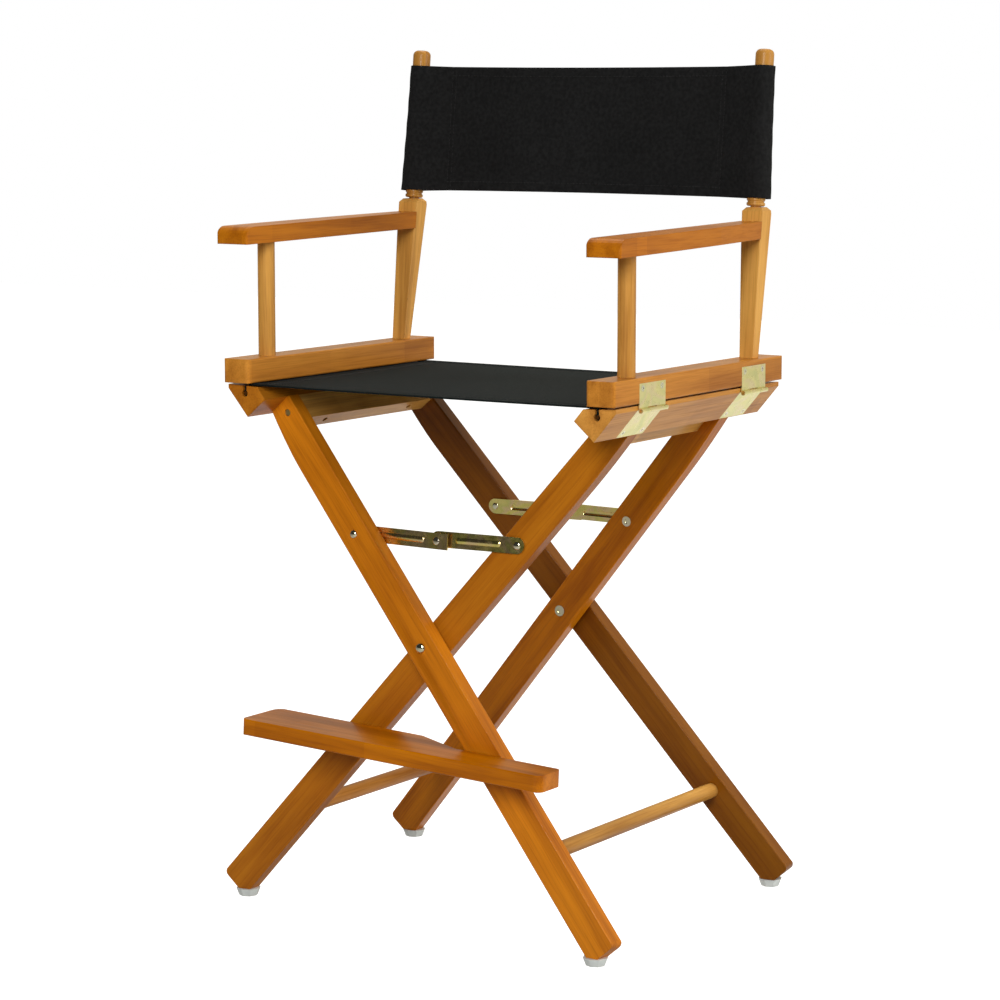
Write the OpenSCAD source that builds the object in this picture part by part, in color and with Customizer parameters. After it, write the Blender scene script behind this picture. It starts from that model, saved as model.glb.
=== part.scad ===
// Counter-height folding director chair with a pull-off footrest.
// The front faces -Y and +Z is up. The origin is on the floor, under the middle of the chair.
// Two scissor frames cross on a front bolt and a back bolt. The outer frame carries the left seat
// rail and the inner frame the right one. Each arm assembly hinges on its seat rail.

/* [Seat and frame] */
// Height of the seat rails' top face
seat_h = 605.4; // [590:1:620]
// Width over the seat rails
rail_span = 520; // [510:1:530]
// Length of the seat rails, front to back
rail_len = 368; // [356:1:372]
// Lean of each leg from upright, in degrees
lean_leg = 40.5; // [40:0.1:41]
// Lean of the leg planes outwards at the feet, in degrees
splay = 5.34; // [5:0.02:5.6]

/* [Legs] */
// Width of a leg
leg_w = 39; // [38:0.5:40]
// Thickness of a leg
leg_t = 20; // [19:0.5:21]
// Gap between the legs of a crossing pair
leg_gap = 8.5; // [8.5:0.1:9]
// Height of the crossing bolts
pivot_z = 320; // [316:1:324]

/* [Arms and back] */
// Height of the armrests' underside at the front
arm_z = 766.5; // [755:0.1:775]
// Height of the tops of the back sticks
top_z = 987.6; // [980:0.1:995]
// Backward lean of the back sticks, in degrees
lean_back = 6.1; // [5.8:0.1:6.4]
// Height of the back canvas
back_h = 150; // [140:1:155]

/* [Footrest] */
// Length of the footrest board
foot_len = 405; // [380:1:410]
// Thickness of the footrest board
foot_t = 19; // [18:0.5:19]

/* [Hidden] */

$fn = 48;
OUTER = -1;
INNER = 1;
FRONT = -1;
BACK = 1;
LEFT = -1;
RIGHT = 1;
ends = [FRONT, BACK];

honey = [0.72, 0.42, 0.12];
zinc = [0.78, 0.72, 0.42];
black_canvas = [0.10, 0.10, 0.10];
glide_white = [0.85, 0.87, 0.85];

sl = sin(lean_leg);
cl = cos(lean_leg);
fit = 0.05;                      // radial running clearance
edge_r = 1.6;                    // eased edge of the wooden parts

// Leg layers: distance of each leg's middle from the chair's middle plane, at pivot height
outer_y = 163;
inner_y = outer_y - leg_t - leg_gap;
leg_down = 405;                  // pivot to the square foot end
joint_v = 340;                   // pivot to the seat rail's underside
taper_v = 240;                   // where the leg tops start to narrow
taper_outer = 8.5;               // narrowing of the outer frame's leg tops
taper_inner = 4;
glide_h = 9;
glide_d = 29;
glide_x = 248;
stretch_v = -275;
stretch_d = 18;
stay_v = 157;                    // pivot to the stay's pin, along the leg
bolt_v = 325;                    // pivot to the bolt through a leg's top
bolt_u = -6;
bolt_d = 6;
pin_d = 5;

// Seat rail, in the frame's own plane: u is across the leg, outwards, and v is up the leg
rail_in = 17.5;                  // the rail's inner face
rail_out = 15.5;                 // the rail's outer face
rail_drop = 2;                   // the rail's top falls this much towards the seat
groove_x = 236.5;
groove_z = seat_h - 9.8;
groove_d = 8;
neck_w = 5;
rod_d = 5;
apron_t = 20;
apron_v = 308;

// Arm assembly
arm_gap = 2;
base_z = seat_h + arm_gap;
base_h = 28;
base_x = 226;
base_w = 36;
base_len = 383;
dowel_x = 242.5;
dowel_y = -133;
dowel_d = 20;
socket = 10;
post_x = 240;
post_top = 807.5;
stick_x = 238.5;
stick_y = 163.1;
stick_d = 21.5;
tenon_d = 12;
tenon_l = 30;
arm_h = 20;
arm_front = 191.5;
arm_rise = 0.9;                  // the armrests rise towards the back, in degrees

// Hinges
hinge_x = 263.5;
hinge_z = 599.9;
leaf_t = 1.6;
leaf_up = 22;                    // height of the upper leaf on the arm's rail
barrel_r = 2.7;
hinge_pin_d = 2.4;
hinge_len = 56;
hinge_ys = [-110, 119.5];
knuckle = hinge_len / 3;

// Stays
stay_t = 1.6;
stay_w = 18.4;
stay_off = 1.4;                  // stay to leg face
stay_past = 16;                  // the square link's end, past the middle joint
rib_h = 1.1;
rib_r = 6;                       // radius of the rib's rounded back

// Footrest: its top face falls towards +X
foot_x0 = -208;
foot_slope = 2.6;
foot_z0 = 217.5;
foot_front = 234;
foot_left_back = 161.6;
foot_right_back = 190.2;
foot_pins = [[87, 204.1], [109, 203.1]];
peg = [-102.5, 198.9];
peg_d = 8;

// ---- poses ----

// The whole chair moves back a little, so that the origin is under its middle with the footrest on
y_shift = (foot_front - outer_y - leg_down * tan(splay) - glide_d / 2) / 2;

module placed() {
  translate([0, y_shift, 0]) children();
}

// A frame's own coordinates: x is across the leg, outwards at the rail, and z is up the leg
module frame_pose(side) {
  mirror([side < 0 ? 1 : 0, 0, 0])
    translate([0, 0, pivot_z])
      rotate([0, lean_leg, 0])
        children();
}

function layer_y(side) = side == OUTER ? outer_y : inner_y;

// A leg's own coordinates, with its plane splayed
module leg_pose(side, end) {
  frame_pose(side)
    translate([0, end * layer_y(side), 0])
      rotate([end * splay, 0, 0])
        children();
}

module on_side(side) {
  mirror([side < 0 ? 1 : 0, 0, 0]) children();
}

// Extrudes a drawing of (x, z) along Y, from y0 to y1
module along_y(y0, y1) {
  translate([0, y1, 0])
    rotate([90, 0, 0])
      linear_extrude(y1 - y0)
        children();
}

// A rod along Y at (x, z), from y0 to y1
module rod_y(x, z, y0, y1, d) {
  along_y(y0, y1) translate([x, z]) circle(d = d);
}

// ---- shapes ----

module rounded_square(w, h, r) {
  square([w - 2 * r, h], center = true);
  square([w, h - 2 * r], center = true);
  for (sx = [-1, 1], sy = [-1, 1])
    translate([sx * (w / 2 - r), sy * (h / 2 - r)])
      circle(r);
}

// A box with its lowest corner at the origin and every edge eased
module eased_box(size, r) {
  translate(size / 2)
    intersection() {
      linear_extrude(size.z, center = true) rounded_square(size.x, size.y, r);
      rotate([90, 0, 0]) linear_extrude(size.y, center = true) rounded_square(size.x, size.z, r);
      rotate([90, 0, 90]) linear_extrude(size.x, center = true) rounded_square(size.y, size.z, r);
    }
}

// Quarter arc of points, for polygons
function arc(c, r, a0, a1, n = 6) = [for (i = [0:n]) let (a = a0 + (a1 - a0) * i / n)
  [c.x + r * cos(a), c.y + r * sin(a)]];

// A domed head on a shank along +Y: the head's flat is at y = 0 and the dome stands towards -Y
module dome_head(d, h) {
  rotate([90, 0, 0])
    rotate_extrude()
      polygon(concat([[0, 0]], [for (i = [0:8]) [d / 2 * cos(i * 11.25), h * sin(i * 11.25)]]));
}

// A flanged sleeve nut's end: a thin flange with a hollow middle, towards +Y from y = 0
module sleeve_end(d, h, hole) {
  rotate([-90, 0, 0])
    difference() {
      cylinder(d = d, h = h);
      translate([0, 0, h / 2]) cylinder(d = hole, h = h);
    }
}

// ---- legs ----

module leg_outline(taper_w) {
  r = 7;
  top = joint_v + 5;
  hw = leg_w / 2;
  side_up = [for (i = [0:5]) let (k = i / 5) [hw - taper_w * k * k, taper_v + (top - taper_v) * k]];
  polygon(concat(arc([-hw + r, -leg_down + r], r, 180, 270), [[hw, -leg_down]], side_up,
    [[-hw, top]]));
}

module leg(side, end) {
  color(honey)
    difference() {
      leg_pose(side, end)
        intersection() {
          translate([0, 0, -leg_down - 1])
            linear_extrude(leg_down + joint_v + 6)
              rounded_square(leg_w, leg_t, edge_r);
          along_y(-leg_t, leg_t) leg_outline(side == OUTER ? taper_outer : taper_inner);
        }
      // Square top under the rail, and a level flat for the glide
      frame_pose(side)
        translate([-leg_w, -2 * outer_y, joint_v])
          cube([2 * leg_w, 4 * outer_y, 60]);
      translate([-400, -300, -40])
        cube([800, 600, 40 + glide_h]);
      // Crossing bolt
      frame_pose(side) rod_y(0, 0, -300, 300, bolt_d + 2 * fit);
      // Stay pin, square to the leg's face
      leg_pose(side, end) rod_y(0, stay_v, -leg_t, leg_t, pin_d + 2 * fit);
      stretcher(side, 2 * fit);
      rail_bolts(side, 2 * fit);
      if (side == OUTER && end == FRONT) footrest_pin_pair(2 * fit);
      if (side == INNER && end == FRONT) peg_shank(2 * fit);
    }
}

// The stretcher's ends sit in sockets, two thirds of the way through the legs
module stretcher(side, grow = 0) {
  reach = layer_y(side) - stretch_v * tan(splay) + leg_t / 6;
  color(honey)
    frame_pose(side)
      rod_y(0, stretch_v, -reach, reach, stretch_d + grow);
}

function foot_y(side) = layer_y(side) + leg_down * tan(splay);

module glides(side) {
  color(glide_white)
    for (end = ends)
      translate([-side * glide_x, end * foot_y(side), 0])
        cylinder(d1 = 22, d2 = glide_d, h = glide_h, $fn = 8);
}

// ---- seat rails ----

// The rail's outer face ends at a low upright lip, next to the hinge's barrel
lip_x = rail_span / 2;
fold_v = (lip_x - rail_out * cl) / sl;

// World (x, z) to the frame's (u, v)
function uv(p) = [p.x * cl - (p.y - pivot_z) * sl, p.x * sl + (p.y - pivot_z) * cl];

module rail_outline() {
  // v where the inner face reaches the rail's top
  inner_v = (seat_h - rail_drop - pivot_z - rail_in * sl) / cl;
  polygon([[-rail_in, joint_v], [rail_out, joint_v], [rail_out, fold_v],
    uv([lip_x, seat_h]), [-rail_in, inner_v]]);
}

module groove() {
  along_y(-rail_len, rail_len) {
    translate([groove_x, groove_z]) circle(d = groove_d);
    translate([groove_x - neck_w / 2, groove_z]) square([neck_w, 30]);
  }
}

module seat_rail(side) {
  color(honey)
    difference() {
      frame_pose(side) along_y(-rail_len / 2, rail_len / 2) rail_outline();
      on_side(side) groove();
      on_side(side) lower_leaves(0);
      on_side(side) lower_screws(0.1);
      pocket_screws(side, 0.1);
    }
}

// The apron stands between the legs, flush with the rail's inner face
module apron(side) {
  gap_fit = 0.05;
  color(honey)
    difference() {
      frame_pose(side)
        along_y(-outer_y, outer_y)
          translate([-rail_in, apron_v])
            square([apron_t, joint_v - apron_v]);
      for (end = ends)
        leg_pose(side, end)
          translate([-leg_w, end > 0 ? -leg_t / 2 - gap_fit : -120 + leg_t / 2 + gap_fit, 0])
            cube([2 * leg_w, 120, 400]);
      rail_bolts(side, 0.1);
      pocket_screws(side, 0.1);
    }
}

// Bolts through the legs' tops into the ends of the apron
module rail_bolts(side, grow = 0) {
  outside = layer_y(side) - bolt_v * tan(splay) + leg_t / 2;
  color(zinc)
    frame_pose(side)
      for (end = ends)
        translate([bolt_u, end * (outside - 1.5), bolt_v])
          rotate([0, 0, end > 0 ? 180 : 0])
            union() {
              rod_y(0, 0, 0, 50, 5 + grow);
              rod_y(0, 0, grow > 0 ? -6 : -0.2, 2, 8 + grow);
            }
}

// Two slanted pocket screws, from the apron's underside up into the rail
module pocket_screws(side, grow = 0) {
  reach = layer_y(side) - apron_v * tan(splay) - leg_t / 2;
  color(zinc)
    frame_pose(side)
      for (end = ends)
        translate([-7.5, end * (reach - 41), apron_v + 8])
          rotate([end * 20, 0, 0])
            union() {
              translate([0, 0, 2]) cylinder(d = 3 + grow, h = 32);
              translate([0, 0, grow > 0 ? -20 : 0]) cylinder(d = 7 + grow, h = grow > 0 ? 22.4 : 2.3);
            }
}

module rail_fixings(side) {
  rail_bolts(side);
  pocket_screws(side);
}

module canvas_rod(side) {
  color(honey)
    on_side(side)
      rod_y(groove_x, groove_z, -rail_len / 2 + 1, rail_len / 2 - 1, rod_d);
}

// ---- arm hinges ----

// A leaf let into the rail's outer face, in the frame's (u, v)
module lower_leaf_outline() {
  translate([rail_out - leaf_t, joint_v + 0.6])
    square([leaf_t, fold_v - joint_v - 0.8]);
}

module barrels(y, parts) {
  for (i = parts)
    rod_y(hinge_x, hinge_z, y - hinge_len / 2 + i * knuckle + 0.1,
      y - hinge_len / 2 + (i + 1) * knuckle - 0.1, 2 * barrel_r);
}

module pin_bore(y) {
  rod_y(hinge_x, hinge_z, y - hinge_len, y + hinge_len, hinge_pin_d + 2 * fit);
}

// Leaves let into the rails' outer faces, each with the middle knuckle
module lower_leaves(with_knuckle) {
  for (y = hinge_ys)
    difference() {
      union() {
        frame_pose(RIGHT)
          along_y(y - hinge_len / 2, y + hinge_len / 2)
            lower_leaf_outline();
        if (with_knuckle > 0) {
          barrels(y, [1]);
          frame_pose(RIGHT)
            along_y(y - knuckle / 2 + 0.1, y + knuckle / 2 - 0.1)
              translate([rail_out - 1, fold_v - 4.2])
                square([2.9, 4]);
        }
      }
      if (with_knuckle > 0) {
        pin_bore(y);
        lower_screws(0.1);
      }
    }
}

// Leaves let into the arm rails' outer faces, each with the two end knuckles
module upper_leaves(with_knuckle) {
  face_x = base_x + base_w;
  foot_z = hinge_z + barrel_r + 0.6;
  for (y = hinge_ys)
    difference() {
      union() {
        along_y(y - hinge_len / 2, y + hinge_len / 2)
          translate([face_x - leaf_t, foot_z])
            square([leaf_t, base_z + leaf_up - foot_z]);
        if (with_knuckle > 0) {
          barrels(y, [0, 2]);
          for (i = [0, 2])
            along_y(y - hinge_len / 2 + i * knuckle + 0.1, y - hinge_len / 2 + (i + 1) * knuckle - 0.1)
              translate([face_x - 1.2, hinge_z])
                square([1.2, foot_z - hinge_z + 1]);
        }
      }
      if (with_knuckle > 0) {
        pin_bore(y);
        upper_screws(0.1);
      }
    }
}

// A countersunk wood screw along -Z, its head flush with z = 0 and cross-slotted
module wood_screw(grow) {
  difference() {
    union() {
      translate([0, 0, -1.1]) cylinder(d = 7 + grow, h = grow > 0 ? 3 : 1.1);
      translate([0, 0, -7]) cylinder(d = 3 + grow, h = 6.5);
    }
    if (grow == 0)
      for (turn = [0, 90])
        rotate([0, 0, turn])
          translate([-2, -0.4, -0.6])
            cube([4, 0.8, 2]);
  }
}

module upper_screws(grow = 0) {
  for (y = hinge_ys, dy = [-20.5, 20.5])
    translate([base_x + base_w, y + dy, base_z + leaf_up - 5.5])
      rotate([0, 90, 0])
        wood_screw(grow);
}

module lower_screws(grow = 0) {
  frame_pose(RIGHT)
    for (y = hinge_ys, dy = [-20.5, 20.5])
      translate([rail_out, y + dy, joint_v + 7])
        rotate([0, 90, 0])
          wood_screw(grow);
}

module hinge_lower(side) {
  color(zinc) on_side(side) lower_leaves(1);
}

module hinge_upper(side) {
  color(zinc) on_side(side) upper_leaves(1);
}

module hinge_pins(side) {
  color(zinc)
    on_side(side)
      for (y = hinge_ys)
        rod_y(hinge_x, hinge_z, y - hinge_len / 2 + 0.1, y + hinge_len / 2 - 0.1, hinge_pin_d);
}

// ---- arms ----

module arm_base(side) {
  color(honey)
    on_side(side)
      difference() {
        translate([base_x, -base_len / 2, base_z])
          intersection() {
            eased_box([base_w, base_len, base_h], 2);
            translate([base_w / 2, base_len / 2, -1])
              linear_extrude(base_h + 2)
                rounded_square(base_w, base_len, 5);
          }
        upper_leaves(0);
        upper_screws(0.1);
        translate([dowel_x, dowel_y, base_z + base_h - socket])
          cylinder(d = dowel_d + 0.1, h = 20);
      }
}

module arm_dowel(side) {
  color(honey)
    on_side(side)
      translate([dowel_x, dowel_y, base_z + base_h - socket])
        cylinder(d = dowel_d, h = arm_z - base_z - base_h + 2 * socket + 1);
}

// Side view of the back post, as (y, z)
module post_side() {
  foot_z = base_z + base_h;
  polygon([[134.7, foot_z], [148.5, foot_z], [174.5, post_top - 8], [173.6, post_top - 4],
    [170, post_top], [155.6, post_top], [151.8, post_top - 4], [147.5, 770]]);
}

module stick_pose() {
  translate([stick_x, stick_y, post_top])
    rotate([-lean_back, 0, 0])
      children();
}

module back_post(side) {
  foot_z = base_z + base_h;
  color(honey)
    on_side(side)
      difference() {
        intersection() {
          rotate([90, 0, 90])
            linear_extrude(400)
              post_side();
          along_y(100, 200)
            translate([post_x, 0])
              polygon([[-5.2, foot_z], [11.9, foot_z], [13, post_top - 4], [9.4, post_top],
                [-9.4, post_top], [-13, post_top - 4]]);
        }
        stick_pose()
          translate([0, 0, -tenon_l])
            cylinder(d = tenon_d + 0.1, h = tenon_l + 10);
      }
}

// A turned stick: tenon, necked foot, plain shaft and a rounded top
module back_stick(side) {
  length = (top_z - post_top) / cos(lean_back);
  r = stick_d / 2;
  nose = 6;
  color(honey)
    on_side(side)
      stick_pose()
        rotate_extrude()
          polygon(concat([[0, -tenon_l], [tenon_d / 2, -tenon_l], [tenon_d / 2, 1.2], [r - 1.2, 1.2],
            [r, 2.4], [r, 4.6], [r - 1.2, 5.6], [r - 1.2, 6.6], [r, 7.8]],
            arc([r - nose, length - nose], nose, 0, 90), [[0, length]]));
}

// Plan of an armrest, wide at the front and as wide as the post at the back
module arm_plan() {
  in_x = post_x - 14.4;
  r = 3;
  front = -arm_front;
  polygon(concat([[in_x, 170]], arc([in_x + r, front + r], r, 180, 270),
    arc([269.2 - r, front + r], r, 270, 360), [[266, -60]], [[262, 40]], [[254, 150]],
    [[254, 170]]));
}

// Side view of an armrest, as (y, z), with a bullnosed front; it rises towards the back
module arm_side() {
  r = 14;
  translate([-arm_front, arm_z])
    rotate(arm_rise)
      polygon(concat([[0, 1], [1, 0], [360, 0], [360, arm_h]],
        arc([r, arm_h - r], r, 90, 180)));
}

module armrest(side) {
  color(honey)
    on_side(side)
      difference() {
        intersection() {
          translate([0, 0, arm_z - 10]) linear_extrude(60) arm_plan();
          rotate([90, 0, 90]) linear_extrude(400) arm_side();
        }
        // The rear end is cut to the post's slanted face
        rotate([90, 0, 90])
          linear_extrude(400)
            union() {
              post_side();
              translate([158, arm_z - 20]) square([40, 80]);
            }
        translate([dowel_x, dowel_y, arm_z - 10])
          cylinder(d = dowel_d + 0.1, h = socket + 11);
      }
}

// ---- canvases ----

// One closed cloth: a flat seat whose hems go down the grooves and around the rods
module seat_canvas() {
  t = 1.6;
  hem = 3.4;
  loop_d = groove_d - 0.3;
  color(black_canvas)
    along_y(-rail_len / 2 + 1, rail_len / 2 - 1)
      difference() {
        union() {
          translate([-groove_x - hem / 2, seat_h - 0.7]) square([2 * groove_x + hem, t]);
          for (sx = [-1, 1]) {
            translate([sx * groove_x - hem / 2, groove_z]) square([hem, seat_h - groove_z]);
            translate([sx * groove_x, groove_z]) circle(d = loop_d);
          }
        }
        for (sx = [-1, 1])
          translate([sx * groove_x, groove_z]) circle(d = rod_d + 0.2);
      }
}

// A flat panel between two sleeves that taper from the sticks to the stitch lines
module back_canvas() {
  t = 1.4;
  loop_r = stick_d / 2 + 0.4;
  seam = 34;
  length = back_h / cos(lean_back);
  low = (817.5 - post_top) / cos(lean_back) + 1;
  color(black_canvas)
    translate([0, stick_y, post_top])
      rotate([-lean_back, 0, 0])
        translate([0, 0, low])
          linear_extrude(length)
            difference() {
              union() {
                square([2 * (stick_x - seam) + 4, 2 * t], center = true);
                for (sx = [-1, 1]) {
                  translate([sx * stick_x, 0]) circle(loop_r + t);
                  translate([sx * stick_x, 0])
                    polygon([[-sx, loop_r + t - 0.1], [-sx * seam, t], [-sx * seam, -t],
                      [-sx, -loop_r - t + 0.1]]);
                }
              }
              for (sx = [-1, 1]) translate([sx * stick_x, 0]) circle(loop_r);
            }
}

// ---- crossing bolts and stays ----

// Bolts along Y: dome heads on the outer frame's legs, nuts inside the inner frame's legs
module pivot_bolts() {
  head_y = outer_y + leg_t / 2 + 0.7;
  tail_y = inner_y - leg_t / 2 - 0.8;
  color(zinc)
    for (end = ends)
      rotate([0, 0, end > 0 ? 180 : 0])
        translate([0, -head_y, pivot_z])
          union() {
            dome_head(12, 3.4);
            rod_y(0, 0, -0.1, head_y - tail_y, bolt_d);
          }
}

module pivot_nuts() {
  tail_y = inner_y - leg_t / 2 - 0.8;
  color(zinc)
    for (end = ends)
      rotate([0, 0, end > 0 ? 180 : 0])
        translate([0, -tail_y, pivot_z])
          sleeve_end(13, 2, 6);
}

module pivot_spacers() {
  mid = outer_y - leg_t / 2 - leg_gap / 2;
  half = leg_gap / 2 - 0.8;
  color(zinc)
    for (end = ends)
      difference() {
        rod_y(0, pivot_z, end * mid - half, end * mid + half, 14);
        rod_y(0, pivot_z, end * mid - leg_gap, end * mid + leg_gap, bolt_d + 2 * fit);
      }
}

// A stay lies beside its leg's inner (outer frame) or outer (inner frame) face, in the leg's plane.
// The middle joint is where the leg's plane meets x = 0, level with the pin.
mid_u = stay_v * cos(splay) * cl * sl;
mid_v = (stay_v * cos(splay) * cl * cl) / cos(splay) - stay_v;
stay_len = norm([mid_u, mid_v]);
stay_turn = atan2(-mid_v, mid_u);

// Moves to the stay's pin: x runs along the stay, and y leaves the leg's face
module stay_pose(side, end) {
  towards = side == OUTER ? -end : end;
  leg_pose(side, end)
    translate([0, towards * leg_t / 2, stay_v])
      mirror([0, towards < 0 ? 1 : 0, 0])
        mirror([1, 0, 0])
          rotate([0, stay_turn, 0])
            children();
}

module stay_outline(square_end) {
  r = stay_w / 2;
  difference() {
    union() {
      circle(r);
      translate([0, -r]) square([stay_len, stay_w]);
      if (square_end) translate([stay_len, -r]) square([stay_past, stay_w]);
      else translate([stay_len, 0]) circle(r);
    }
    circle(d = pin_d + 2 * fit);
    translate([stay_len, 0]) circle(d = pin_d + 2 * fit);
  }
}

// A long rounded rib that stands rib_h from y = 0 towards +Y, between x = 0 and x = length
module rib(length) {
  sunk = rib_r - rib_h;
  end_x = sqrt(rib_r * rib_r - sunk * sunk);
  intersection() {
    translate([-rib_r, 0, -rib_r]) cube([length + 2 * rib_r, rib_h + 1, 2 * rib_r]);
    translate([end_x, -sunk, 0]) {
      rotate([0, 90, 0]) cylinder(r = rib_r, h = length - 2 * end_x);
      sphere(r = rib_r);
      translate([length - 2 * end_x, 0, 0]) sphere(r = rib_r);
    }
  }
}

// A flat link with a long pressed rib, which is a channel on its other face. The outer frame's
// links have the rib on the face towards the leg, and the inner frame's on the face away from it.
module stay(side, end) {
  rib_x = 21;
  rib_l = stay_len - 2 * rib_x + (side == OUTER ? 4 : -2);
  color(zinc)
    stay_pose(side, end)
      difference() {
        union() {
          along_y(stay_off, stay_off + stay_t) stay_outline(side == OUTER);
          if (side == OUTER) translate([rib_x, stay_off + 0.01, 0]) mirror([0, 1, 0]) rib(rib_l);
          else translate([rib_x, stay_off + stay_t - 0.01, 0]) rib(rib_l);
        }
        if (side == OUTER) translate([rib_x, stay_off + stay_t + 0.01, 0]) mirror([0, 1, 0]) rib(rib_l);
        else translate([rib_x, stay_off - 0.01, 0]) rib(rib_l);
      }
}

// The open middle joint: a half rivet in each link, with a gap between them
module stay_half_rivet(side, end) {
  color(zinc)
    stay_pose(side, end)
      translate([stay_len, 0, 0])
        if (side == OUTER) {
          translate([0, stay_off - 0.05, 0]) dome_head(9, 1.2);
          rod_y(0, 0, stay_off - 0.1, stay_off + stay_t, pin_d);
        } else {
          translate([0, stay_off - 0.05, 0]) dome_head(9, 1.2);
          rod_y(0, 0, stay_off - 0.1, stay_off + stay_t, pin_d);
        }
}

// Pins that hold the stays to the legs: heads outside, sleeve ends inside
module stay_pins(side) {
  reach = stay_off + stay_t;
  color(zinc)
    for (end = ends)
      stay_pose(side, end) {
        rod_y(0, 0, -leg_t, reach, pin_d);
        if (side == OUTER) {
          translate([0, -leg_t, 0]) dome_head(10, 3);
          translate([0, reach, 0]) mirror([0, 1, 0]) dome_head(8, 0.8);
        } else {
          translate([0, reach, 0]) mirror([0, 1, 0]) dome_head(9, 1.8);
          mirror([0, 1, 0]) translate([0, leg_t, 0]) sleeve_end(12, 2, 5.5);
        }
        difference() {
          rod_y(0, 0, 0.05, stay_off - 0.1, 9);
          rod_y(0, 0, -1, stay_off + 1, pin_d);
        }
      }
}

// ---- footrest ----

module footrest_plan() {
  r = 6;
  front_r = 10;
  back_r = 14;
  right = foot_x0 + foot_len;
  polygon(concat(
    arc([foot_x0 + r, -foot_front + r], r, 180, 270),
    arc([right - front_r, -foot_front + front_r], front_r, 270, 360),
    arc([right - r, -foot_right_back - r], r, 0, 90),
    [[58, -foot_right_back], [-8, -foot_left_back]],
    arc([foot_x0 + back_r, -foot_left_back - back_r], back_r, 90, 180)));
}

module footrest_board() {
  mid = (foot_front + foot_left_back) / 2;
  depth = foot_front - foot_left_back;
  color(honey)
    difference() {
      translate([0, 0, foot_z0])
        rotate([0, foot_slope, 0])
          intersection() {
            translate([0, 0, -foot_t]) linear_extrude(foot_t) footrest_plan();
            translate([0, -mid, -foot_t / 2])
              rotate([90, 0, 90])
                linear_extrude(1000, center = true)
                  rounded_square(depth, foot_t, edge_r);
          }
      footrest_pin_pair(0.1);
    }
}

// Steel pins glued in the board that plug into the front outer leg
module footrest_pin_pair(grow = 0) {
  for (p = foot_pins)
    rod_y(p.x, p.y, -foot_right_back - 25, -foot_right_back + 18, 6 + grow);
}

module footrest_pins() {
  color(zinc) footrest_pin_pair();
}

// A peg in the front inner leg, which the board's left half rests on
module peg_shank(grow = 0) {
  rod_y(peg.x, peg.y, -175, -146, 5 + grow);
}

module footrest_peg() {
  color(zinc) {
    peg_shank();
    rod_y(peg.x, peg.y, -186, -162.4, peg_d);
  }
}

placed() leg(OUTER, FRONT);  // leg_front_outer
placed() leg(OUTER, BACK);  // leg_back_outer
placed() seat_rail(LEFT);  // seat_rail_left
placed() apron(LEFT);  // apron_left
placed() stretcher(OUTER);  // stretcher_outer
placed() glides(OUTER);  // glides_outer
placed() canvas_rod(LEFT);  // canvas_rod_left
placed() rail_fixings(LEFT);  // rail_fixings_left
placed() hinge_lower(LEFT);  // hinge_lower_left
placed() color(zinc) on_side(LEFT) lower_screws();  // hinge_lower_screws_left
placed() stay_pins(OUTER);  // stay_pins_outer
placed() leg(INNER, FRONT);  // leg_front_inner
placed() leg(INNER, BACK);  // leg_back_inner
placed() seat_rail(RIGHT);  // seat_rail_right
placed() apron(RIGHT);  // apron_right
placed() stretcher(INNER);  // stretcher_inner
placed() glides(INNER);  // glides_inner
placed() canvas_rod(RIGHT);  // canvas_rod_right
placed() rail_fixings(RIGHT);  // rail_fixings_right
placed() hinge_lower(RIGHT);  // hinge_lower_right
placed() color(zinc) on_side(RIGHT) lower_screws();  // hinge_lower_screws_right
placed() stay_pins(INNER);  // stay_pins_inner
placed() footrest_peg();
placed() pivot_bolts();
placed() pivot_nuts();
placed() pivot_spacers();
placed() seat_canvas();
placed() arm_base(LEFT);  // arm_base_left
placed() arm_dowel(LEFT);  // arm_dowel_left
placed() back_post(LEFT);  // back_post_left
placed() back_stick(LEFT);  // back_stick_left
placed() armrest(LEFT);  // armrest_left
placed() hinge_upper(LEFT);  // hinge_upper_left
placed() hinge_pins(LEFT);  // hinge_pins_left
placed() color(zinc) on_side(LEFT) upper_screws();  // hinge_upper_screws_left
placed() back_canvas();
placed() arm_base(RIGHT);  // arm_base_right
placed() arm_dowel(RIGHT);  // arm_dowel_right
placed() back_post(RIGHT);  // back_post_right
placed() back_stick(RIGHT);  // back_stick_right
placed() armrest(RIGHT);  // armrest_right
placed() hinge_upper(RIGHT);  // hinge_upper_right
placed() hinge_pins(RIGHT);  // hinge_pins_right
placed() color(zinc) on_side(RIGHT) upper_screws();  // hinge_upper_screws_right
placed() stay(OUTER, FRONT);  // stay_front_outer
placed() stay(INNER, FRONT);  // stay_front_inner
placed() stay(OUTER, BACK);  // stay_back_outer
placed() stay(INNER, BACK);  // stay_back_inner
placed() stay_half_rivet(OUTER, FRONT);  // stay_rivet_heads_front
placed() stay_half_rivet(INNER, FRONT);  // stay_rivet_tails_front
placed() stay_half_rivet(OUTER, BACK);  // stay_rivet_heads_back
placed() stay_half_rivet(INNER, BACK);  // stay_rivet_tails_back
placed() footrest_board();
placed() footrest_pins();
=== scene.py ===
"""Looks of a folding director chair: varnished wood, plated steel, two black canvases."""
import math
import random

import bmesh
import bpy
from mathutils import Matrix, Vector


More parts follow.
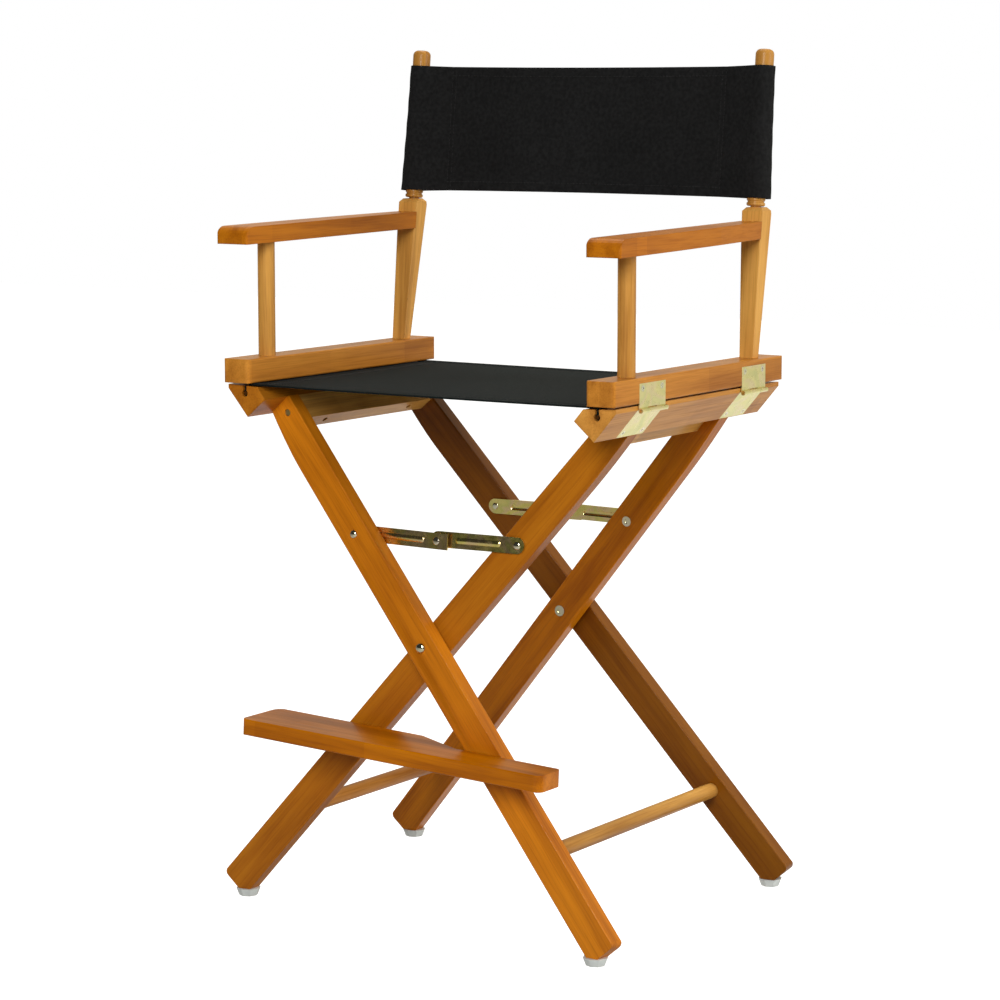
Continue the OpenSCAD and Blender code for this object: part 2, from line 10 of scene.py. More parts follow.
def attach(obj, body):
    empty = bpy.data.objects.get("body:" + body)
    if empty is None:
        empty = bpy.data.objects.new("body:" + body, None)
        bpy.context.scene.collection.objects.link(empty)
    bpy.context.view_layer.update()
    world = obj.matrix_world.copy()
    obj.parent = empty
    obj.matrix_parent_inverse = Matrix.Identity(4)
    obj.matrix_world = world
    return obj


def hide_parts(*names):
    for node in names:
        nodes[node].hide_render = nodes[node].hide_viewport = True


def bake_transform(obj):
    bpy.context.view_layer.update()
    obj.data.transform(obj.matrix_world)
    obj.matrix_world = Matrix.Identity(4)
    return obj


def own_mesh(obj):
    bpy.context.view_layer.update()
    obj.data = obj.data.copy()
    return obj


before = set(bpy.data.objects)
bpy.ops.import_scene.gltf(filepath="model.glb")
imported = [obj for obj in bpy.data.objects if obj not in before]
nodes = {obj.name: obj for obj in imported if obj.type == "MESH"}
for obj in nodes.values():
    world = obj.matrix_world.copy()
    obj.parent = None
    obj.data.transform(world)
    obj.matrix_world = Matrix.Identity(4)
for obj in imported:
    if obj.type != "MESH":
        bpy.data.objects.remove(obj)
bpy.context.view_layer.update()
rng = random.Random(7)

# ---- what the CAD part says, in metres ----

MID_Y = 0.0093                          # middle of the seat rails
LEAN = math.radians(40.5)               # of the legs, sideways
SPLAY = math.radians(5.34)              # of the legs, to the front and the back
STICK_LEAN = math.radians(6.1)          # of the back sticks, backwards
STICK_X = 0.2385
STICK_R = 0.01075
STICK_FOOT = (0.1631 + MID_Y, 0.8075)   # y and z
GROOVE_X = 0.2365                       # middle of the keyhole groove
GROOVE_Z = 0.5956
SEAT_Z = 0.6045                         # the seat cloth runs just above this height

SMOOTH_BELOW = math.radians(28)         # sharper edges of the CAD parts stay crisp


# ---- materials ----

def new_material(name):
    m = bpy.data.materials.new(name)
    m.use_nodes = True
    tree = m.node_tree
    tree.nodes.clear()
    out = tree.nodes.new("ShaderNodeOutputMaterial")
    bsdf = tree.nodes.new("ShaderNodeBsdfPrincipled")
    tree.links.new(bsdf.outputs[0], out.inputs[0])
    return m, tree, bsdf


def node(tree, kind, inputs=None, **props):
    n = tree.nodes.new("ShaderNode" + kind)
    for key, value in props.items():
        setattr(n, key, value)
    for key, value in (inputs or {}).items():
        socket = n.inputs[key]
        if isinstance(value, bpy.types.NodeSocket):
            tree.links.new(value, socket)
        else:
            socket.default_value = value
    return n


def ramp(tree, fac, stops):
    n = tree.nodes.new("ShaderNodeValToRGB")
    tree.links.new(fac, n.inputs[0])
    r = n.color_ramp
    while len(r.elements) < len(stops):
        r.elements.new(0.5)
    for e, (at, colour) in zip(r.elements, stops):
        e.position = at
        e.color = (*colour, 1)
    return n.outputs[0]


def mixed(tree, fac, a, b, blend="MIX"):
    n = tree.nodes.new("ShaderNodeMix")
    n.data_type = "RGBA"
    n.blend_type = blend
    for i, value in ((0, fac), (6, a), (7, b)):
        if isinstance(value, bpy.types.NodeSocket):
            tree.links.new(value, n.inputs[i])
        else:
            n.inputs[i].default_value = value if i == 0 else (*value, 1)
    return n.outputs[2]


def math_node(tree, op, a, b=None, c=None):
    n = tree.nodes.new("ShaderNodeMath")
    n.operation = op
    for i, value in enumerate((a, b, c)):
        if value is None:
            continue
        if isinstance(value, bpy.types.NodeSocket):
            tree.links.new(value, n.inputs[i])
        else:
            n.inputs[i].default_value = value
    return n.outputs[0]


def grain_space(tree, along):
    """Coordinates in metres whose X runs along the grain."""
    coords = tree.nodes.new("ShaderNodeTexCoord").outputs["Object"]
    turn = Vector(along).rotation_difference(Vector((1, 0, 0))).to_euler()
    spin = node(tree, "Mapping", {"Vector": coords, "Rotation": turn})
    shift = (rng.uniform(-3, 3), rng.uniform(-3, 3), rng.uniform(-3, 3))
    return node(tree, "Mapping", {"Vector": spin.outputs[0], "Location": shift}).outputs[0]


STAINED = (0.54, 0.158, 0.000)
UNSTAINED = (0.66, 0.36, 0.085)


def wood(name, along, pale, tone, laminated=True):
    """Honey varnish over wood: long grain, fine pores, and glued blocks if laminated."""
    m, tree, bsdf = new_material(name)
    space = grain_space(tree, along)
    long_grain = node(tree, "Mapping", {"Vector": space, "Scale": (3.0, 42.0, 42.0)})
    wave = node(tree, "TexNoise", {"Vector": long_grain.outputs[0], "Scale": 1.0, "Detail": 5.0,
                                   "Roughness": 0.58, "Distortion": 0.35})
    fine = node(tree, "Mapping", {"Vector": space, "Scale": (14.0, 520.0, 520.0)})
    pores = node(tree, "TexNoise", {"Vector": fine.outputs[0], "Scale": 1.0, "Detail": 3.0,
                                    "Roughness": 0.6})
    mottle = node(tree, "TexNoise", {"Vector": space, "Scale": 9.0, "Detail": 2.0})
    honey = [tone * (a + (b - a) * pale) for a, b in zip(STAINED, UNSTAINED)]
    deep = [c * k for c, k in zip(honey, (0.66, 0.58, 0.50))]
    straw = [c * k for c, k in zip(honey, (1.20, 1.30, 1.45))]
    base = ramp(tree, wave.outputs["Fac"], [(0.30, deep), (0.50, honey), (0.72, straw)])
    if laminated:
        # Finger-jointed blocks: one tone for each block along the grain
        parts = node(tree, "SeparateXYZ", {"Vector": space})
        jag = node(tree, "TexNoise", {"Vector": long_grain.outputs[0], "Scale": 0.6})
        row = math_node(tree, "FLOOR", math_node(tree, "MULTIPLY", parts.outputs[1], 60.0))
        run = math_node(tree, "MULTIPLY_ADD", parts.outputs[0], 6.5,
                        math_node(tree, "MULTIPLY", row, 0.37))
        run = math_node(tree, "ADD", run, math_node(tree, "MULTIPLY", jag.outputs["Fac"], 0.02))
        cell = node(tree, "CombineXYZ", {"X": math_node(tree, "FLOOR", run), "Y": row, "Z": 0.0})
        patch = node(tree, "TexWhiteNoise", {"Vector": cell.outputs[0]}, noise_dimensions="3D")
        shade = ramp(tree, patch.outputs["Value"],
                     [(0.0, (0.86, 0.83, 0.80)), (1.0, (1.08, 1.10, 1.12))])
        base = mixed(tree, 1.0, base, shade, "MULTIPLY")
    speck = ramp(tree, pores.outputs["Fac"], [(0.36, (0.78, 0.70, 0.62)), (0.52, (1, 1, 1))])
    base = mixed(tree, 0.6, base, speck, "MULTIPLY")
    cloud = ramp(tree, mottle.outputs["Fac"], [(0.3, (0.90, 0.86, 0.82)), (0.7, (1.06, 1.08, 1.1))])
    base = mixed(tree, 0.8, base, cloud, "MULTIPLY")
    tree.links.new(base, bsdf.inputs["Base Color"])
    rough = ramp(tree, pores.outputs["Fac"], [(0.3, (0.42,) * 3), (0.7, (0.30,) * 3)])
    tree.links.new(rough, bsdf.inputs["Roughness"])
    bsdf.inputs["Specular IOR Level"].default_value = 0.12
    bsdf.inputs["Coat Weight"].default_value = 0.12
    bsdf.inputs["Coat Roughness"].default_value = 0.14
    bsdf.inputs["Coat IOR"].default_value = 1.5
    bump = node(tree, "Bump", {"Height": pores.outputs["Fac"], "Strength": 0.12,
                               "Distance": 0.0004})
    soft = node(tree, "Bevel", {"Radius": 0.0009})
    tree.links.new(soft.outputs[0], bump.inputs["Normal"])
    tree.links.new(bump.outputs[0], bsdf.inputs["Normal"])
    return m


def plated(name, hue, rough, rainbow):
    """Zinc plate: a smooth yellow film that drifts to olive and pink over bright steel."""
    m, tree, bsdf = new_material(name)
    coords = tree.nodes.new("ShaderNodeTexCoord").outputs["Object"]
    patches = node(tree, "TexNoise", {"Vector": coords, "Scale": 32.0, "Detail": 1.0,
                                      "Distortion": 0.8})
    film = ramp(tree, patches.outputs["Fac"],
                [(0.30, (0.42, 0.47, 0.10)), (0.44, (0.80, 0.70, 0.20)), (0.54, (0.84, 0.58, 0.42)),
                 (0.64, (0.58, 0.60, 0.20)), (0.75, (0.88, 0.76, 0.28))])
    tree.links.new(mixed(tree, rainbow, hue, film), bsdf.inputs["Base Color"])
    bsdf.inputs["Metallic"].default_value = 1.0
    scuffs = node(tree, "TexNoise", {"Vector": coords, "Scale": 160.0, "Detail": 2.0})
    worn = ramp(tree, scuffs.outputs["Fac"],
                [(0.3, (rough * 0.8,) * 3), (0.7, (rough * 1.3,) * 3)])
    tree.links.new(worn, bsdf.inputs["Roughness"])
    return m


YARN_PITCH = 0.0009


def canvas(name, colour, sheen):
    """Plain-woven cotton: crossing yarns a bit under a millimetre apart."""
    m, tree, bsdf = new_material(name)
    coords = tree.nodes.new("ShaderNodeTexCoord").outputs["Object"]
    parts = node(tree, "SeparateXYZ", {"Vector": coords})
    yarn = 2 * math.pi / YARN_PITCH
    flat_y = math_node(tree, "ADD", parts.outputs[1], parts.outputs[2])
    warp = math_node(tree, "SINE", math_node(tree, "MULTIPLY", parts.outputs[0], yarn))
    weft = math_node(tree, "SINE", math_node(tree, "MULTIPLY", flat_y, yarn))
    weave = math_node(tree, "MULTIPLY", warp, weft)
    slub = node(tree, "TexNoise", {"Vector": coords, "Scale": 240.0, "Detail": 4.0})
    lint = node(tree, "TexNoise", {"Vector": coords, "Scale": 14.0, "Detail": 3.0})
    low = tuple(c * 0.78 for c in colour)
    high = tuple(c * 1.3 for c in colour)
    tone = ramp(tree, slub.outputs["Fac"], [(0.35, low), (0.65, high)])
    fade = ramp(tree, lint.outputs["Fac"], [(0.3, (0.88, 0.88, 0.88)), (0.7, (1.1, 1.1, 1.1))])
    tree.links.new(mixed(tree, 1.0, tone, fade, "MULTIPLY"), bsdf.inputs["Base Color"])
    bsdf.inputs["Roughness"].default_value = 0.92
    bsdf.inputs["Specular IOR Level"].default_value = 0.12
    bsdf.inputs["Sheen Weight"].default_value = sheen
    bsdf.inputs["Sheen Roughness"].default_value = 0.5
    height = math_node(tree, "MULTIPLY_ADD", weave, 0.5, slub.outputs["Fac"])
    bump = node(tree, "Bump", {"Height": height, "Strength": 0.35, "Distance": 0.0003})
    tree.links.new(bump.outputs[0], bsdf.inputs["Normal"])
    return m


def plastic(name, colour):
    m, tree, bsdf = new_material(name)
    coords = tree.nodes.new("ShaderNodeTexCoord").outputs["Object"]
    dirt = node(tree, "TexNoise", {"Vector": coords, "Scale": 60.0, "Detail": 3.0})
    worn = tuple(c * 0.86 for c in colour)
    tree.links.new(ramp(tree, dirt.outputs["Fac"], [(0.35, worn), (0.65, colour)]),
                   bsdf.inputs["Base Color"])
    bsdf.inputs["Roughness"].default_value = 0.45
    bsdf.inputs["Subsurface Weight"].default_value = 0.15
    bsdf.inputs["Subsurface Radius"].default_value = (0.004, 0.004, 0.004)
    soft = node(tree, "Bevel", {"Radius": 0.0006})
    tree.links.new(soft.outputs[0], bsdf.inputs["Normal"])
    return m


def give(names, material):
    for name in names:
        slots = nodes[name].data.materials
        slots.clear()
        slots.append(material)


def leg_direction(side, end):
    """Unit vector up a leg: side is +1 for the right rail's frame, end is -1 at the front."""
    up = Vector((0, -end * math.sin(SPLAY), math.cos(SPLAY)))
    lean = Matrix.Rotation(LEAN, 3, "Y") @ up
    return Vector((side * lean.x, lean.y, lean.z))


along_y = (0, 1, 0)
# Each leg's tone is set to how bright it looks as lit, so light and shade are painted into the
# wood: the dark back outer leg is painted shade.
give(["leg_front_outer"], wood("wood_leg_front_outer", leg_direction(-1, -1), 0.06, 1.22, False))
give(["leg_back_outer"], wood("wood_leg_back_outer", leg_direction(-1, 1), 0.06, 0.42, False))
give(["leg_front_inner"], wood("wood_leg_front_inner", leg_direction(1, -1), 0.08, 0.86, False))
give(["leg_back_inner"], wood("wood_leg_back_inner", leg_direction(1, 1), 0.02, 1.1, False))
for side in ("left", "right"):
    # The right rail's paler wood is a painted reflection of the white floor on its slanted outer
    # face.
    pale, tone = (0.12, 0.88) if side == "left" else (0.55, 1.16)
    give(["seat_rail_" + side], wood("wood_rail_" + side, along_y, pale, tone))
    # The aprons' pale wood is a painted reflection of the floor on their lower faces.
    give(["apron_" + side], wood("wood_apron_" + side, along_y, 0.9, 1.2))
    give(["arm_base_" + side], wood("wood_arm_base_" + side, along_y, 0.32, 1.02))
    give(["armrest_" + side], wood("wood_armrest_" + side, along_y, 0.06, 1.0))
    give(["back_post_" + side], wood("wood_back_post_" + side, (0, 0.1, 1), 0.78, 1.18, False))
    give(["back_stick_" + side], wood("wood_stick_" + side, (0, 0.1, 1), 0.65, 0.92, False))
    give(["arm_dowel_" + side], wood("wood_dowel_" + side, (0, 0, 1), 0.78, 1.15, False))
    # The rod's wood is nearly black as painted shade, so its end reads as a dark hollow in the
    # groove.
    give(["canvas_rod_" + side], wood("wood_rod_" + side, along_y, 0.1, 0.12, False))
give(["stretcher_outer"], wood("wood_stretcher_outer", along_y, 0.75, 1.0, False))
give(["stretcher_inner"], wood("wood_stretcher_inner", along_y, 0.4, 1.0, False))
give(["footrest_board"], wood("wood_footrest", (1, 0, -0.045), 0.0, 1.06))

leaf_zinc = plated("zinc_leaf", (0.80, 0.75, 0.38), 0.30, 0.30)
stay_zinc = plated("zinc_stay", (0.88, 0.74, 0.22), 0.22, 0.6)
bright = plated("zinc_bright", (0.82, 0.80, 0.66), 0.14, 0.25)
give(["hinge_lower_left", "hinge_lower_right", "hinge_upper_left", "hinge_upper_right"], leaf_zinc)
give(["stay_front_outer", "stay_front_inner", "stay_back_outer", "stay_back_inner", "pivot_spacers",
      "hinge_pins_left", "hinge_pins_right"], stay_zinc)
give(["hinge_lower_screws_left", "hinge_lower_screws_right", "hinge_upper_screws_left",
      "hinge_upper_screws_right", "stay_pins_outer", "stay_pins_inner", "footrest_peg",
      "footrest_pins", "pivot_bolts", "pivot_nuts", "stay_rivet_heads_front",
      "stay_rivet_tails_front", "stay_rivet_heads_back", "stay_rivet_tails_back"], bright)
give(["rail_fixings_left", "rail_fixings_right"],
     plated("zinc_bolt", (0.46, 0.36, 0.20), 0.30, 0.4))
give(["glides_outer", "glides_inner"], plastic("glide_plastic", (0.78, 0.82, 0.79)))

for name, obj in nodes.items():
    if obj.type == "MESH":
        obj.data.shade_smooth()
        flat = obj.modifiers.new("split_edges", "EDGE_SPLIT")
        flat.split_angle = SMOOTH_BELOW


# ---- mesh help ----

def mesh_object(name, verts, faces, material, smooth=True):
    mesh = bpy.data.meshes.new(name)
    mesh.from_pydata([tuple(v) for v in verts], [], faces)
    mesh.update()
    obj = bpy.data.objects.new(name, mesh)
    bpy.context.scene.collection.objects.link(obj)
    obj.data.materials.append(material)
    if smooth:
        obj.data.shade_smooth()
    return obj


def face_outwards(mesh):
    bm = bmesh.new()
    bm.from_mesh(mesh)
    bmesh.ops.recalc_face_normals(bm, faces=bm.faces)
    bm.to_mesh(mesh)
    bm.free()


def ring_faces(count, n):
    """The quads between one ring of n points and the next, for count rings."""
    faces = []
    for i in range(count - 1):
        for j in range(n):
            k = (j + 1) % n
            faces.append((i * n + j, i * n + k, (i + 1) * n + k, (i + 1) * n + j))
    return faces


def loft(name, rings, material):
    """A closed skin through rings of points, each ring a loop; the end rings are capped."""
    n = len(rings[0])
    verts = [v for ring in rings for v in ring]
    faces = ring_faces(len(rings), n)
    faces.append(tuple(reversed(range(n))))
    faces.append(tuple((len(rings) - 1) * n + j for j in range(n)))
    obj = mesh_object(name, verts, faces, material)
    face_outwards(obj.data)
    return obj


STITCH = 0.0032
STITCH_GAP = 0.0011
THREAD_R = 0.00035
THREAD_SIDES = 6
STITCH_SHAPE = ((0, 0.3), (0.2, 1), (0.8, 1), (1, 0.3))   # place along it, share of the radius


def thread(name, runs, material):
    """Rows of stitches. Each run is a function from 0..1 to a point, with its length."""
    verts, faces = [], []
    sides = range(THREAD_SIDES)
    for place, length in runs:
        for i in range(int(length / (STITCH + STITCH_GAP))):
            a = place((i * (STITCH + STITCH_GAP)) / length)
            b = place((i * (STITCH + STITCH_GAP) + STITCH) / length)
            along = (b - a).normalized()
            side = along.orthogonal().normalized()
            up = along.cross(side)
            first = len(verts)
            for t, r in STITCH_SHAPE:
                for k in sides:
                    turn = k * math.pi / 3
                    out = side * math.cos(turn) + up * math.sin(turn)
                    verts.append(a.lerp(b, t) + out * THREAD_R * r)
            for face in ring_faces(len(STITCH_SHAPE), THREAD_SIDES):
                faces.append(tuple(first + v for v in face))
            last = first + (len(STITCH_SHAPE) - 1) * THREAD_SIDES
            faces.append(tuple(first + k for k in reversed(sides)))
            faces.append(tuple(last + k for k in sides))
    return mesh_object(name, verts, faces, material)


seat_cloth = canvas("seat_canvas_cloth", (0.005, 0.0085, 0.008), 0.01)
back_cloth = canvas("back_canvas_cloth", (0.012, 0.012, 0.012), 0.0)
black_thread = canvas("black_thread", (0.018, 0.018, 0.018), 0.1)

# ---- seat canvas: a half for each side, which meet along the middle ----

SEAT_Y0 = MID_Y - 0.181
SEAT_Y1 = MID_Y + 0.181
CLOTH = 0.0016          # thickness
SAG = 0.0010
SEAT_HEM = 0.017        # width of the hem along the front and back edges
NECK = 0.0019           # from the groove's middle to the cloth on each side of its neck
ROD_LOOP_R = 0.0037
CLOTH_CREASE = math.radians(40)
SIDE_NAME = {-1: "left", 1: "right"}


def seat_height(x, y):
    """Middle of the cloth: stretched, with a slight sag and faint pulls at the grooves."""
    edge = 1 - (abs(x) / GROOVE_X) ** 2
    pull = math.sin(y * 61) * 0.00022 * (abs(x) / GROOVE_X) ** 3
    return SEAT_Z + 0.0010 - SAG * edge * 0.6 + pull


def hem_bulge(y):
    """The folded hem along the front and back edges is two layers thick."""
    near = min(y - SEAT_Y0, SEAT_Y1 - y)
    return 0.0005 * max(0.0, min(1.0, (SEAT_HEM - near) / 0.0015))


def seat_half(side):
    """A sheet from the middle to the groove, down its neck and round the rod, as a closed strip."""
    half = CLOTH / 2
    rings = []
    ys = [SEAT_Y0 + (SEAT_Y1 - SEAT_Y0) * i / 90 for i in range(91)]
    ys = sorted(set(ys + [SEAT_Y0 + 0.0008, SEAT_Y0 + 0.0155, SEAT_Y0 + SEAT_HEM,
                          SEAT_Y1 - 0.0008, SEAT_Y1 - 0.0155, SEAT_Y1 - SEAT_HEM]))
    for y in ys:
        round_off = 0.65 if y in (ys[0], ys[-1]) else 1.0
        t = (half + hem_bulge(y)) * round_off
        top, bottom = [], []
        steps = 34
        for i in range(steps + 1):
            x = (GROOVE_X - 0.003) * i / steps
            z = seat_height(x, y)
            top.append((x, z + t))
            bottom.append((x, z - t * 0.7))
        # over the groove's lip and down the neck to the rod
        neck_out = GROOVE_X + NECK
        neck_in = GROOVE_X - NECK
        outer = [(GROOVE_X - 0.0004, SEAT_Z + 0.0013), (neck_out - 0.0006, SEAT_Z + 0.0004),
                 (neck_out, SEAT_Z - 0.0015), (neck_out, GROOVE_Z + 0.0036)]
        loop = []
        for i in range(11):
            a = math.radians(62 - i * 30.4)
            loop.append((GROOVE_X + ROD_LOOP_R * math.cos(a), GROOVE_Z + ROD_LOOP_R * math.sin(a)))
        inner = [(neck_in, GROOVE_Z + 0.0036), (neck_in, SEAT_Z - 0.0015)]
        section = top + outer + loop + inner + list(reversed(bottom))
        rings.append([Vector((side * x, y, z)) for x, z in section])
    obj = loft("seat_canvas_" + SIDE_NAME[side], rings, seat_cloth)
    obj.data.set_sharp_from_angle(angle=CLOTH_CREASE)
    return obj


def seat_stitches(side):
    runs = []
    for y in (SEAT_Y0 + 0.0135, SEAT_Y1 - 0.0135):
        def place(t, y=y):
            x = (GROOVE_X - 0.008) * t
            return Vector((side * x, y, seat_height(x, y) + CLOTH / 2 + 0.0006))
        runs.append((place, GROOVE_X - 0.008))
    for inset in (0.0275, 0.0325):
        def place(t, inset=inset):
            y = SEAT_Y0 + 0.004 + (SEAT_Y1 - SEAT_Y0 - 0.008) * t
            x = GROOVE_X - inset
            return Vector((side * x, y, seat_height(x, y) + CLOTH / 2 + 0.0001 + hem_bulge(y)))
        runs.append((place, SEAT_Y1 - SEAT_Y0 - 0.008))
    return thread("seat_stitches_" + SIDE_NAME[side], runs, black_thread)


# From the middle to the groove, down its neck and once round the rod
for side, body in ((-1, "outer_frame"), (1, "inner_frame")):
    half = seat_half(side)
    seams = seat_stitches(side)
    for piece in (half, seams):
        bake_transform(piece)
    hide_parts("seat_canvas")

# ---- back canvas: a sleeve on each stick and the panel between them ----

BACK_LOW = 0.8175
BACK_HIGH = 0.9685
SEAM_X = 0.190          # stitched line beside each sleeve
FLAP_X = 0.217          # where a sleeve's flap ends on the panel
PANEL_X = 0.227         # where the panel ends under the flaps
LAYER = 0.0007
FACE_DEPTH = 0.0008     # from the panel's middle to its face
BACK_HEM = 0.0125
BACK_CREASE = math.radians(50)


def stick_y(z):
    return STICK_FOOT[0] + (z - STICK_FOOT[1]) * math.tan(STICK_LEAN)


def sleeve_depth(x):
    """How far each layer stands from the sheet's middle, from the seam out to the stick."""
    t = max(0.0, min(1.0, (abs(x) - SEAM_X) / (STICK_X - 0.0015 - SEAM_X)))
    return FACE_DEPTH + STICK_R * t ** 1.15


def back_wave(x, z):
    """Faint vertical pulls, as on cloth stretched between two sticks."""
    fall = 1 - (abs(x) / STICK_X) ** 4
    return fall * (0.0007 * math.sin(x * 37 + 1.3) + 0.0004 * math.sin(x * 83 + z * 21)
                   + 0.0003 * math.sin(z * 70 + x * 9))


def edge_line(x, low):
    """The top and bottom edges dip by a hair between the sticks."""
    dip = 0.0016 * (1 - (abs(x) / STICK_X) ** 2)
    return BACK_LOW + dip if low else BACK_HIGH - dip


def back_point(x, k, depth):
    z = edge_line(x, True) + (edge_line(x, False) - edge_line(x, True)) * k
    normal = Vector((0, -math.cos(STICK_LEAN), math.sin(STICK_LEAN)))
    return Vector((x, stick_y(z) + back_wave(x, z), z)) + normal * depth


def back_hem(k):
    """The hem is a double layer along the top and the bottom."""
    near = min(k, 1 - k) * (BACK_HIGH - BACK_LOW)
    return 0.0004 * max(0.0, min(1.0, (BACK_HEM - near) / 0.0012))


def back_panel():
    rows = sorted(set([i / 44 for i in range(45)] + [0.004, 0.076, 0.084, 0.916, 0.924, 0.996]))
    xs = sorted(set([-PANEL_X + 2 * PANEL_X * i / 96 for i in range(97)]
                    + [s * (SEAM_X + d) for s in (-1, 1) for d in (-0.0015, 0, 0.0015)]))
    rings = []
    for k in rows:
        tip = 0.5 if k in (0.0, 1.0) else 1.0
        loop = []
        for sign in (1, -1):
            for x in (xs if sign > 0 else reversed(xs)):
                groove = 0.0005 * max(0.0, 1 - abs(abs(x) - SEAM_X) / 0.0015)
                taper = 1.0 if abs(x) > SEAM_X else tip
                depth = sleeve_depth(x) * taper + back_hem(k) * tip - groove
                loop.append(back_point(x, k, sign * depth))
        rings.append(loop)
    obj = loft("back_canvas_panel", rings, back_cloth)
    obj.data.set_sharp_from_angle(angle=BACK_CREASE)
    return obj


def back_sleeve(side):
    """Cloth round a stick, with a flap at the front and the back that laps the panel."""
    outer = STICK_R + 0.0022
    inner = outer - LAYER * 1.4
    arc = [math.radians(-90 + 180 * i / 16) for i in range(17)]
    flaps = [FLAP_X + (STICK_X - 0.0015 - FLAP_X) * i / 5 for i in range(5)]

    def line(sign, extra):
        """The flap thins out to its edge, so that it lies flush on the panel."""
        thin = [0.12 + 0.88 * i / 4 for i in range(5)]
        return [(x, sign * (sleeve_depth(x) + (0.0006 + extra) * t)) for x, t in zip(flaps, thin)]

    around = [(STICK_X + outer * math.cos(a), outer * math.sin(a)) for a in arc]
    within = [(STICK_X + inner * math.cos(a), inner * math.sin(a)) for a in reversed(arc)]
    section = line(-1, LAYER) + around + list(reversed(line(1, LAYER)))
    section += line(1, 0) + within + list(reversed(line(-1, 0)))
    rows = sorted(set([i / 30 for i in range(31)] + [0.006, 0.994]))
    rings = []
    for k in rows:
        ring = []
        for x, depth in section:
            pucker = 0.00035 * math.sin(k * 34 + x * 60)
            flare = 0.40 * max(0.0, x - STICK_X) * (1 - k) ** 1.4
            lift = pucker if abs(depth) > 0.004 else 0
            ring.append(back_point(side * (x + flare), k, depth + lift))
        rings.append(ring)
    # The sleeve's section is a ring with a slit, so its ends are strips and not discs
    n = len(section)
    half = n // 2
    verts = [v for ring in rings for v in ring]
    faces = ring_faces(len(rings), n)
    for row in (0, len(rings) - 1):
        for j in range(half - 1):
            faces.append((row * n + j, row * n + j + 1, row * n + n - 2 - j, row * n + n - 1 - j))
    obj = mesh_object("back_canvas_sleeve_" + SIDE_NAME[side], verts, faces, back_cloth)
    face_outwards(obj.data)
    obj.data.set_sharp_from_angle(angle=BACK_CREASE)
    return obj


def back_stitches():
    runs = []
    tall = BACK_HIGH - BACK_LOW
    for side in (-1, 1):
        for face in (-1, 1):
            for inset in (0.0, 0.005):
                def place(t, side=side, face=face, inset=inset):
                    x = side * (SEAM_X - inset)
                    k = 0.03 + 0.94 * t
                    return back_point(x, k, face * (sleeve_depth(x) + back_hem(k) + 0.0001))
                runs.append((place, tall * 0.94))
    for k in (0.072, 0.928):
        for face in (-1, 1):
            def place(t, k=k, face=face):
                x = -SEAM_X + 2 * SEAM_X * t
                return back_point(x, k, face * (sleeve_depth(x) + back_hem(k) + 0.0002))
            runs.append((place, 2 * SEAM_X))
    return thread("back_stitches", runs, black_thread)


panel = back_panel()
stitches = back_stitches()
for piece in (panel, stitches):
    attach(piece, "arm_left")
    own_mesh(piece)
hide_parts("back_canvas")
for side, body in ((-1, "arm_left"), (1, "arm_right")):
    sleeve = back_sleeve(side)
    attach(sleeve, body)

# ---- studio ----

cam_data = bpy.data.cameras.new("camera")
cam = bpy.data.objects.new("camera", cam_data)
bpy.context.scene.collection.objects.link(cam)
cam_data.lens = 112.0
cam_data.sensor_width = 36.0
cam.location = (1.9470, -3.0012, 0.9570)
target = Vector((0.0006, -0.0012, 0.4696))
cam.rotation_euler = (target - cam.location).to_track_quat("-Z", "Y").to_euler()
bpy.context.scene.camera = cam

floor_white, tree, bsdf = new_material("floor_white")
bsdf.inputs["Base Color"].default_value = (0.50, 0.50, 0.50, 1)
bsdf.inputs["Roughness"].default_value = 0.9
bsdf.inputs["Specular IOR Level"].default_value = 0.0
bsdf.inputs["Emission Color"].default_value = (1, 1, 1, 1)
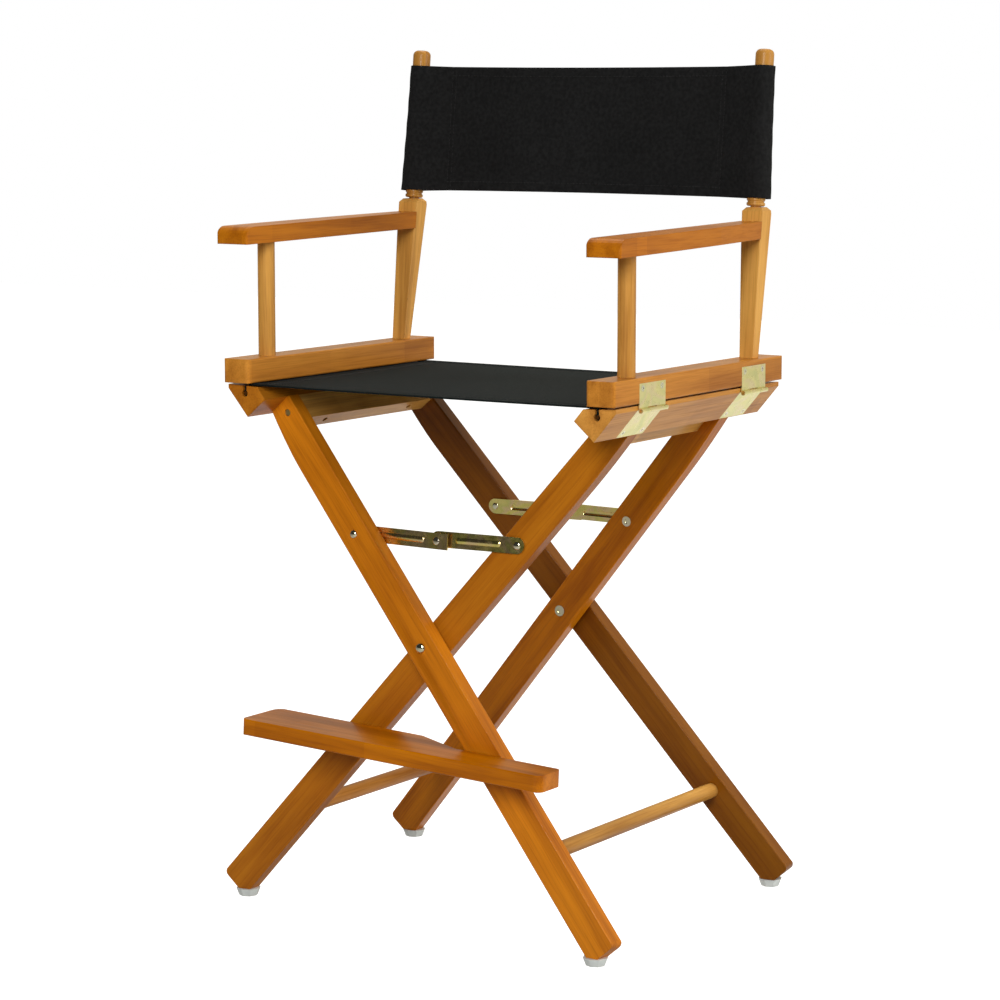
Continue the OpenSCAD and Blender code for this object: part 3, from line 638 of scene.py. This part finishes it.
# White to the camera, and a pale floor behind the chair for the varnish to reflect
rays = tree.nodes.new("ShaderNodeLightPath").outputs
coords = tree.nodes.new("ShaderNodeTexCoord").outputs["Object"]
spot = node(tree, "SeparateXYZ", {"Vector": coords})
behind = math_node(tree, "GREATER_THAN", spot.outputs[1], 0.25)
mirrored = math_node(tree, "MULTIPLY", rays["Is Glossy Ray"], 0.55)
pale_floor = math_node(tree, "MULTIPLY", mirrored, behind)
tree.links.new(math_node(tree, "ADD", rays["Is Camera Ray"], pale_floor),
               bsdf.inputs["Emission Strength"])
# The feet go below rest height as the chair folds about its crossing bolts, so the floor is low
FLOOR_Z = -0.10
FLOOR_R = 9
corners = [(x * FLOOR_R, y * FLOOR_R, FLOOR_Z) for x, y in ((-1, -1), (1, -1), (1, 1), (-1, 1))]
floor = mesh_object("floor", corners, [(0, 1, 2, 3)], floor_white, smooth=False)

# White backdrop behind, dark room in front: the camera sees plain white either way
world = bpy.data.worlds.new("studio")
bpy.context.scene.world = world
world.use_nodes = True
sky = world.node_tree
background = sky.nodes["Background"]
coords = sky.nodes.new("ShaderNodeTexCoord").outputs["Generated"]
direction = node(sky, "SeparateXYZ", {"Vector": coords})
room = ramp(sky, math_node(sky, "MULTIPLY_ADD", direction.outputs[1], 0.5, 0.5),
            [(0.42, (0.03,) * 3), (0.76, (0.66, 0.61, 0.50))])
seen = sky.nodes.new("ShaderNodeLightPath").outputs["Is Camera Ray"]
sky.links.new(mixed(sky, seen, room, (1.0, 1.0, 1.0)), background.inputs[0])
bpy.context.scene.view_settings.view_transform = "Standard"


def area_light(name, at, target_z, size, power):
    """A square light that points at the chair's middle, at height target_z."""
    data = bpy.data.lights.new(name, "AREA")
    data.shape = "RECTANGLE"
    data.size = data.size_y = size
    data.energy = power
    obj = bpy.data.objects.new(name, data)
    bpy.context.scene.collection.objects.link(obj)
    obj.location = at
    aim = Vector((0, 0, target_z)) - Vector(at)
    obj.rotation_euler = aim.to_track_quat("-Z", "Y").to_euler()


area_light("front", (1.3, -3.2, 2.0), 0.45, 1.6, 90)
area_light("right", (3.2, 0.8, 1.6), 0.5, 1.8, 48)
area_light("top", (-0.4, 0.8, 3.2), 0.5, 1.6, 34)
